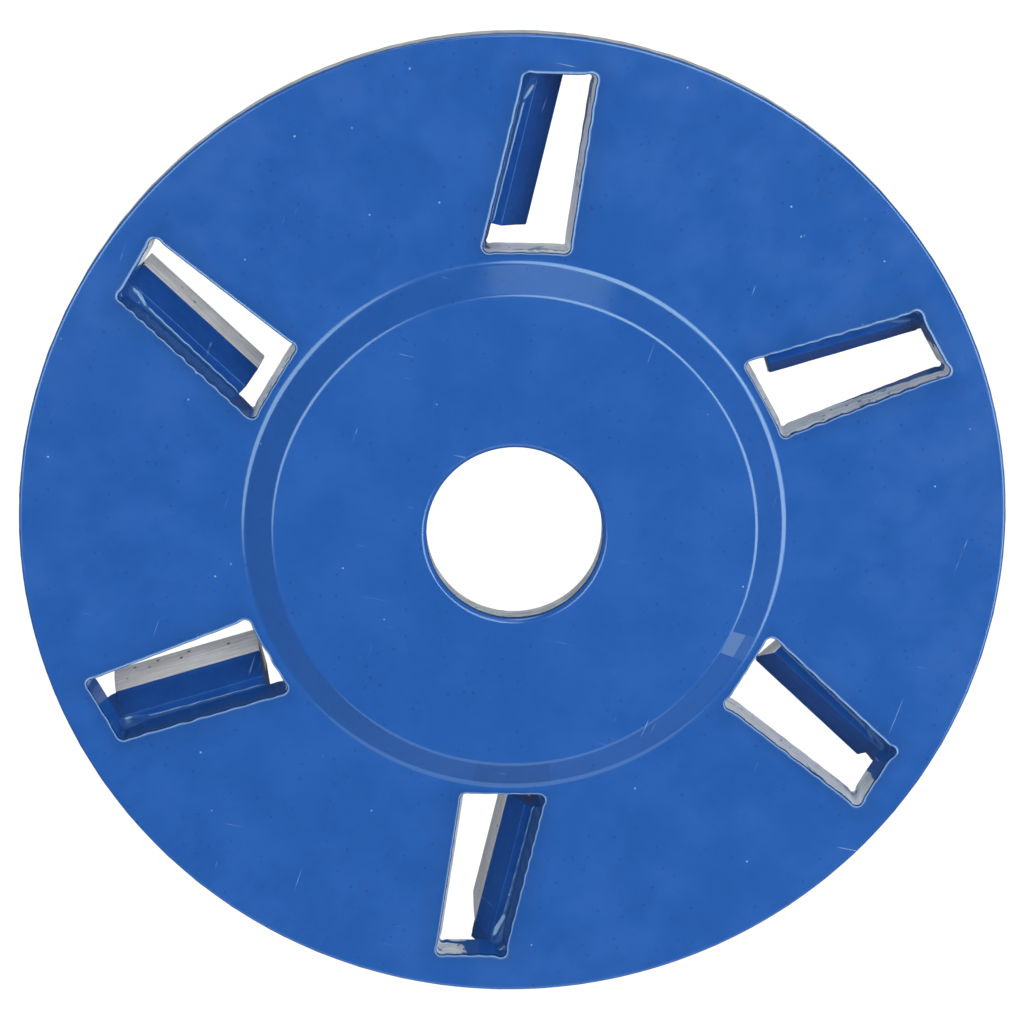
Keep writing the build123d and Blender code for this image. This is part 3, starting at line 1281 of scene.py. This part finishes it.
@dataclass(frozen=True)
class HeelBead:
    """The weld bead along the back of one blade."""

    tooth: Tooth
    leg: float = 2.4 * MM
    bulge: float = 0.3 * MM
    setback: float = 0.5 * MM
    pitch: float = 0.85 * MM
    ripple: float = 0.09 * MM

    def profile(self) -> list[tuple[float, float, float]]:
        """The bead's outline across its length, about the corner that it fills, turned for sweeping.

        Returns:
            The outline's points.
        """
        lean = math.radians(self.tooth.station.lean)
        toe = Vector((self.leg, 0.0))
        top = Vector((-self.leg * math.sin(lean), -self.leg * math.cos(lean)))
        middle, outwards = (toe + top) / 2, (toe + top).normalized()
        points = [Vector((0.0, 0.0))]
        for step in range(13):
            place = 2 * step / 12 - 1
            points.append(middle + (top - toe) / 2 * place + outwards * self.bulge * (1 - place * place))
        return [(-point.x, -point.y, 0.0) for point in points]

    def tree(self) -> tuple[bpy.types.NodeTree, dict[str, str]]:
        """Builds the Geometry Nodes tree that sweeps a bead and raises its ripples.

        Returns:
            The tree, and each input's identifier by its name.
        """
        tree = bpy.data.node_groups.new("weld_bead", "GeometryNodeTree")
        wire = Wiring(tree)
        new = tree.interface.new_socket
        new("Profile", in_out="INPUT", socket_type="NodeSocketGeometry")
        kinds = {"Start": "Vector", "End": "Vector", "Turn": "Vector", "Pitch": "Float", "Ripple": "Float"}
        kinds |= {"Seed": "Float", "Metal": "Material"}
        names = {
            name: new(name, in_out="INPUT", socket_type=f"NodeSocket{kind}").identifier
            for name, kind in kinds.items()
        }
        new("Bead", in_out="OUTPUT", socket_type="NodeSocketGeometry")
        given = wire.add("NodeGroupInput").outputs
        ends = {"Start": given["Start"], "End": given["End"]}
        line = wire.add("GeometryNodeCurvePrimitiveLine", ends).outputs[0]
        line = wire.add("GeometryNodeResampleCurve", {"Curve": line, "Count": 150}).outputs[0]
        share = wire.add("GeometryNodeSplineParameter").outputs["Factor"]
        swell, shrink = wire.ease(share, 0.0, 0.09, 0.45, 1.0), wire.ease(share, 0.93, 1.0, 1.0, 0.35)
        taper = wire.maths("MINIMUM", swell, shrink)
        rib = wire.add("GeometryNodeMeshToCurve", {0: given["Profile"]}).outputs[0]
        bead = wire.add(
            "GeometryNodeCurveToMesh",
            {"Curve": line, "Profile Curve": rib, "Scale": taper, "Fill Caps": True},
        ).outputs[0]
        bead = wire.add("GeometryNodeFlipFaces", {0: bead}).outputs[0]
        place = wire.add("GeometryNodeInputPosition").outputs[0]
        spot = wire.add("ShaderNodeSeparateXYZ", {0: place}).outputs
        foot = wire.add("ShaderNodeSeparateXYZ", {0: given["Start"]}).outputs
        drop = wire.maths("SUBTRACT", spot[2], foot[2])
        hang = wire.maths("ABSOLUTE", wire.total(drop, 1.0 * MM))
        bow = wire.times(wire.maths("POWER", hang, 2.0), 260.0)
        noise = wire.add(
            "ShaderNodeTexNoise", {"Vector": place, "W": given["Seed"], "Scale": 480.0, "Detail": 2.0},
            noise_dimensions="4D",
        ).outputs[0]
        count = wire.maths("DIVIDE", wire.total(spot[0], bow), given["Pitch"])
        beat = wire.total(count, wire.times(noise, 0.7))
        crest = wire.maths("SUBTRACT", wire.times(wire.maths("FRACT", beat), 2.0), 1.0)
        crest = wire.maths("SUBTRACT", 1.0, wire.times(crest, crest))
        crest = wire.maths("SUBTRACT", crest, 0.75)
        lift = wire.times(wire.total(crest, wire.times(noise, 0.9)), given["Ripple"])
        push = wire.add(
            "ShaderNodeVectorMath",
            {0: wire.add("GeometryNodeInputNormal").outputs[0], "Scale": lift},
            operation="SCALE",
        ).outputs[0]
        bead = wire.add("GeometryNodeSetPosition", {"Geometry": bead, "Offset": push}).outputs[0]
        bead = wire.add("GeometryNodeTransform", {"Geometry": bead, "Rotation": given["Turn"]}).outputs[0]
        bead = wire.add("GeometryNodeSetShadeSmooth", {0: bead}).outputs[0]
        bead = wire.add("GeometryNodeRealizeInstances", {0: bead}).outputs[0]
        metal = {"Geometry": bead, "Material": given["Metal"]}
        bead = wire.add("GeometryNodeSetMaterial", metal).outputs[0]
        wire.add("NodeGroupOutput", {0: bead})
        return tree, names

    def make(self, levels: Heights, finish: bpy.types.Material) -> bpy.types.Object:
        """Builds and dresses the bead.

        Args:
            levels: The disc's levels.
            finish: The painted weld metal.

        Returns:
            The finished piece.
        """
        number = self.tooth.station.number
        points = self.profile()
        mesh = bpy.data.meshes.new(f"heel_bead_{number}")
        mesh.from_pydata(points, [(k, (k + 1) % len(points)) for k in range(len(points))], [])
        piece = bpy.data.objects.new(mesh.name, mesh)
        bpy.context.scene.collection.objects.link(piece)
        tree, names = self.tree()
        y, z = self.tooth.heel(levels)
        start_x = self.tooth.inner_x + self.setback
        end_x = self.tooth.inner_x + self.tooth.length - self.setback
        values = {
            "Start": (start_x, y, z),
            "End": (end_x, y, z),
            "Turn": (0.0, 0.0, self.tooth.station.angle),
            "Pitch": self.pitch,
            "Ripple": self.ripple,
            "Seed": float(number),
            "Metal": finish,
        }
        settle(piece, tree, {names[name]: value for name, value in values.items()})
        dress(piece, finish, f"heel_weld_{number}")
        return piece


@dataclass(frozen=True)
class CornerFill:
    """Weld metal in a window's outer trailing corner: a soft fillet on the blade's root and outer end."""

    tooth: Tooth
    along_wall: float = 3.4 * MM
    along_end: float = 2.85 * MM
    over_end: float = 1.15 * MM
    corner_rise: float = 1.7 * MM
    wall_rise: float = 0.75 * MM
    end_rise: float = 0.6 * MM
    softness: float = 0.35 * MM
    bite: float = 0.3 * MM
    skin: float = 0.35 * MM
    rows: int = 30
    columns: int = 34

    def surface(self, inwards: np.ndarray, across: np.ndarray) -> np.ndarray:
        """Height of the fill above the work face.

        Args:
            inwards: Distance from the outer wall.
            across: Distance from the trailing wall.

        Returns:
            The height, below 0 where the fill follows the blade's rake face down.
        """
        slope = 1 / math.tan(math.radians(self.tooth.station.lean))
        ledge = self.tooth.ledge
        fall = np.maximum(across - ledge + 0.12 * MM, 0.0)
        near = -self.softness * np.log(np.exp(-inwards / self.softness) + np.exp(-across / self.softness))
        share = np.clip(inwards, 0, None) / (np.clip(inwards, 0, None) + np.clip(across, 0, None) + 1e-6)
        wall_step, end_step = self.wall_rise - self.corner_rise, self.end_rise - self.corner_rise
        along = self.corner_rise + wall_step * smooth(inwards, 0.0, self.along_wall)
        down = self.corner_rise + end_step * smooth(across, 0.0, self.along_end)
        rise = down + (along - down) * share
        short = np.clip(rise - np.maximum(near, 0.0), 0.0, None)
        return rise - np.sqrt(rise**2 - short**2) - np.minimum(fall * slope, 3.2 * MM)

    def make(self, levels: Heights, window: ChipWindow, finish: bpy.types.Material) -> bpy.types.Object:
        """Builds and dresses the fill.

        Args:
            levels: The disc's levels.
            window: The window whose corner it fills.
            finish: The painted weld metal.

        Returns:
            The finished piece.
        """
        corner, number = window.corners()[-1], self.tooth.station.number
        across = np.linspace(-self.bite, self.along_end, self.columns)
        width = self.over_end + (self.along_wall - self.over_end) * (1 - smooth(across, 0.5 * MM, 1.7 * MM))
        slant = math.tan(window.end_slant)
        shell = Shell(*SURFACE_VALUES)
        upper, lower = [], []
        for step in range(self.rows + 1):
            out = step / self.rows
            inwards = -self.bite + (width + self.bite) * out
            height = self.surface(inwards, across)
            edge = smooth(out, 0.8, 1.0) + smooth(across / self.along_end, 0.85, 1.0)
            height = height - 0.07 * MM * np.minimum(edge, 1.0) + 0.03 * MM
            wander = unevenness(across, self.along_end * 1.3, 1.4 * MM, 80 + number)
            wander = wander * 0.03 * MM * math.sin(3 * out)
            x, y = corner.x - inwards + across * slant, corner.y - across
            points = np.column_stack((x, y, levels.work + height))
            points[:, 2] += wander
            upper.append(shell.row(placed(points, self.tooth.station.angle)))
            points[:, 2] -= self.skin
            lower.append(shell.row(placed(points, self.tooth.station.angle)))
        for sheet in (upper, lower):
            for first, second in zip(sheet, sheet[1:]):
                shell.bridge(first, second, closed=False)
        shell.bridge(upper[0], lower[0], closed=False)
        shell.bridge(upper[-1], lower[-1], closed=False)
        for side in (0, -1):
            shell.bridge([row[side] for row in upper], [row[side] for row in lower], closed=False)
        piece = shell.build(f"corner_fill_{number}", crease=70.0)
        dress(piece, finish, f"end_weld_{number}")
        return piece


@dataclass(frozen=True)
class Viewpoint:
    """The camera: nearly overhead, tipped a little to one side."""

    tilt: float = math.radians(14.675)
    azimuth: float = math.radians(79.80)
    upward: float = math.radians(73.73)
    distance: float = 311.4 * MM
    lens: float = 120.1
    sensor: float = 36.0
    shift: tuple[float, float] = (-0.00214, 0.01685)

    def place(self, target: Vector) -> None:
        """Makes the camera and aims it at a point.

        Args:
            target: The point.
        """
        back = Vector(
            (
                math.sin(self.tilt) * math.cos(self.azimuth),
                math.sin(self.tilt) * math.sin(self.azimuth),
                math.cos(self.tilt),
            )
        )
        upward = Vector((math.cos(self.upward), math.sin(self.upward), 0.0))
        upward = (upward - back * upward.dot(back)).normalized()
        right = upward.cross(back)
        data = bpy.data.cameras.new("camera")
        data.lens, data.sensor_width = self.lens, self.sensor
        data.shift_x, data.shift_y = self.shift
        data.clip_start, data.clip_end = 0.01, 10.0
        camera = bpy.data.objects.new("camera", data)
        bpy.context.scene.collection.objects.link(camera)
        turn = Matrix((right, upward, back)).transposed().to_4x4()
        camera.matrix_world = Matrix.Translation(target + back * self.distance) @ turn
        bpy.context.scene.camera = camera


@dataclass(frozen=True)
class SoftBox:
    """A round soft light, aimed at the disc."""

    name: str
    azimuth: float
    tilt: float
    half_angle: float
    radiance: float
    distance: float = 0.8

    def place(self) -> None:
        """Makes the light."""
        azimuth, tilt = math.radians(self.azimuth), math.radians(self.tilt)
        x, y = math.sin(tilt) * math.cos(azimuth), math.sin(tilt) * math.sin(azimuth)
        back = Vector((x, y, math.cos(tilt)))
        data = bpy.data.lights.new(self.name, "AREA")
        radius = self.distance * math.tan(math.radians(self.half_angle))
        data.shape, data.size = "DISK", 2 * radius
        data.energy = self.radiance * math.pi * math.pi * radius**2
        lamp = bpy.data.objects.new(self.name, data)
        lamp.rotation_mode = "QUATERNION"
        lamp.rotation_quaternion = (-back).to_track_quat("-Z", "Y")
        lamp.location = back * self.distance
        bpy.context.scene.collection.objects.link(lamp)


@dataclass(frozen=True)
class Studio:
    """A pale floor, a dim ceiling that brightens low down, and soft lights.

    The floor has four strengths: floor_light as the camera sees it, floor_bounce as it lights the
    disc's matt surfaces, and, in reflections, floor_shade, a painted shadow under the disc, and floor_gleam
    beyond it.
    """

    floor_light: float = 1.06
    floor_bounce: float = 0.68
    floor_shade: float = 0.08
    floor_gleam: float = 0.3
    shade_reach: tuple[float, float] = (0.0452, 0.0482)
    floor_size: float = 30.0
    sky: tuple[tuple[float, float], ...] = ((0.0, 0.5), (0.5, 0.34), (0.58, 0.22), (0.8, 0.14), (1.0, 0.12))
    lights: tuple[SoftBox, ...] = (
        SoftBox("key_light", -31.0, 41.0, 20.0, 4.5),
        SoftBox("second_light", 32.0, 27.0, 19.0, 4.6),
        SoftBox("fill_light", 155.0, 31.0, 20.0, 3.7),
        SoftBox("back_panel", 62.0, 57.0, 15.0, 0.9),
        SoftBox("front_panel", 254.0, 55.0, 26.0, 0.95),
        SoftBox("low_panel", 80.0, 83.0, 13.0, 3.0),
    )

    def build(self, floor_height: float) -> None:
        """Lays the floor and sets the lights.

        Args:
            floor_height: Where the disc's lowest edge rests.
        """
        bpy.context.scene.view_settings.view_transform = "Standard"
        world = bpy.data.worlds.new("studio")
        bpy.context.scene.world = world
        world.use_nodes = True
        world.node_tree.nodes.clear()
        wire = Wiring(world.node_tree)
        way = wire.add("ShaderNodeTexCoord").outputs["Generated"]
        way = wire.add("ShaderNodeSeparateXYZ", {0: way}).outputs[2]
        ramp = wire.add("ShaderNodeValToRGB", {0: wire.total(wire.times(way, 0.5), 0.5)})
        while len(ramp.color_ramp.elements) < len(self.sky):
            ramp.color_ramp.elements.new(0.5)
        for element, (place, light) in zip(ramp.color_ramp.elements, self.sky):
            element.position, element.color = place, (light, light, light, 1.0)
        background = wire.add("ShaderNodeBackground", {"Color": ramp.outputs[0]})
        wire.add("ShaderNodeOutputWorld", {"Surface": background.outputs[0]})
        self.floor(floor_height)
        for light in self.lights:
            light.place()

    def floor(self, height: float) -> None:
        """Lays the pale lit floor, which is clear from below and carries a painted shadow under the disc in
        reflections.

        Args:
            height: The floor's height.
        """
        half = self.floor_size / 2
        mesh = bpy.data.meshes.new("floor")
        signs = ((-1, -1), (1, -1), (1, 1), (-1, 1))
        corners = [(x * half, y * half, height) for x, y in signs]
        mesh.from_pydata(corners, [], [(0, 1, 2, 3)])
        floor = bpy.data.objects.new("floor", mesh)
        bpy.context.scene.collection.objects.link(floor)
        material = bpy.data.materials.new("lit_floor")
        material.use_nodes = True
        material.node_tree.nodes.clear()
        wire = Wiring(material.node_tree)
        ray = wire.add("ShaderNodeLightPath").outputs
        place = wire.add("ShaderNodeTexCoord").outputs["Object"]
        level = {0: place, 1: (1.0, 1.0, 0.0)}
        flat = wire.add("ShaderNodeVectorMath", level, operation="MULTIPLY").outputs[0]
        away = wire.add("ShaderNodeVectorMath", {0: flat}, operation="LENGTH").outputs["Value"]
        # Seen in reflections, the floor carries a painted shadow under the disc that fades to floor_gleam
        # beyond shade_reach.
        gleam = wire.ease(away, *self.shade_reach, self.floor_shade, self.floor_gleam)
        light = wire.between(ray["Is Diffuse Ray"], gleam, self.floor_bounce)
        light = wire.between(ray["Is Camera Ray"], light, self.floor_light)
        glow = wire.add("ShaderNodeEmission", {"Color": (1, 1, 1, 1), "Strength": light})
        clear = wire.add("ShaderNodeBsdfTransparent")
        below = wire.add("ShaderNodeNewGeometry").outputs["Backfacing"]
        either = wire.add("ShaderNodeMixShader", {0: below, 1: glow.outputs[0], 2: clear.outputs[0]})
        wire.add("ShaderNodeOutputMaterial", {"Surface": either.outputs[0]})
        mesh.materials.append(material)


@dataclass(frozen=True)
class Finishes:
    """The object's finishes."""

    plate: EnamelledSteel = EnamelledSteel(
        "plate_enamel", (0.0115, 0.078, 0.318, 1.0), (0.0103, 0.071, 0.288, 1.0)
    )
    # The blade's enamel is the plate's paint drawn darker, as painted shade for blades that stand under the
    # plate.
    tooth: EnamelledSteel = EnamelledSteel(
        "blade_enamel",
        (0.0075, 0.058, 0.255, 1.0),
        (0.0055, 0.045, 0.212, 1.0),
        steel=(0.9, 0.91, 0.93, 1.0),
        dull=(0.6, 0.61, 0.63, 1.0),
        shine=0.35,
        polish=0.42,
        streaks_along=170.0,
        streaks_across=4200.0,
        torn=0.25,
        smears=0.0,
    )
    # The weld's enamel is likewise the plate's paint drawn darker, as painted shade in the windows and
    # under the plate.
    weld: EnamelledSteel = EnamelledSteel(
        "weld_enamel", (0.0075, 0.058, 0.245, 1.0), (0.0055, 0.045, 0.205, 1.0)
    )


def main() -> None:
    """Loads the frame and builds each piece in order."""
    logging.basicConfig(level=logging.INFO, format="%(message)s")
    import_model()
    plate = DiscPlate()
    levels = Heights.read(plate.thickness)
    Viewpoint().place(Vector((0.0, 0.0, levels.face)))
    Studio().build(levels.tip)
    effects, finishes = SharedEffects(), Finishes()
    enamel = finishes.plate.build(effects)
    blade_steel = finishes.tooth.build(effects)
    weld = finishes.weld.build(effects)
    made = [plate.make(levels, enamel)]
    for station in STATIONS:
        tooth = Tooth(station)
        made.append(tooth.make(levels, blade_steel))
        made.append(HeelBead(tooth).make(levels, weld))
        made.append(CornerFill(tooth).make(levels, plate.window, weld))
    for piece in made:
        log.info("%s: %d faces", piece.name, len(piece.data.polygons))


if __name__ == "__main__":
    main()
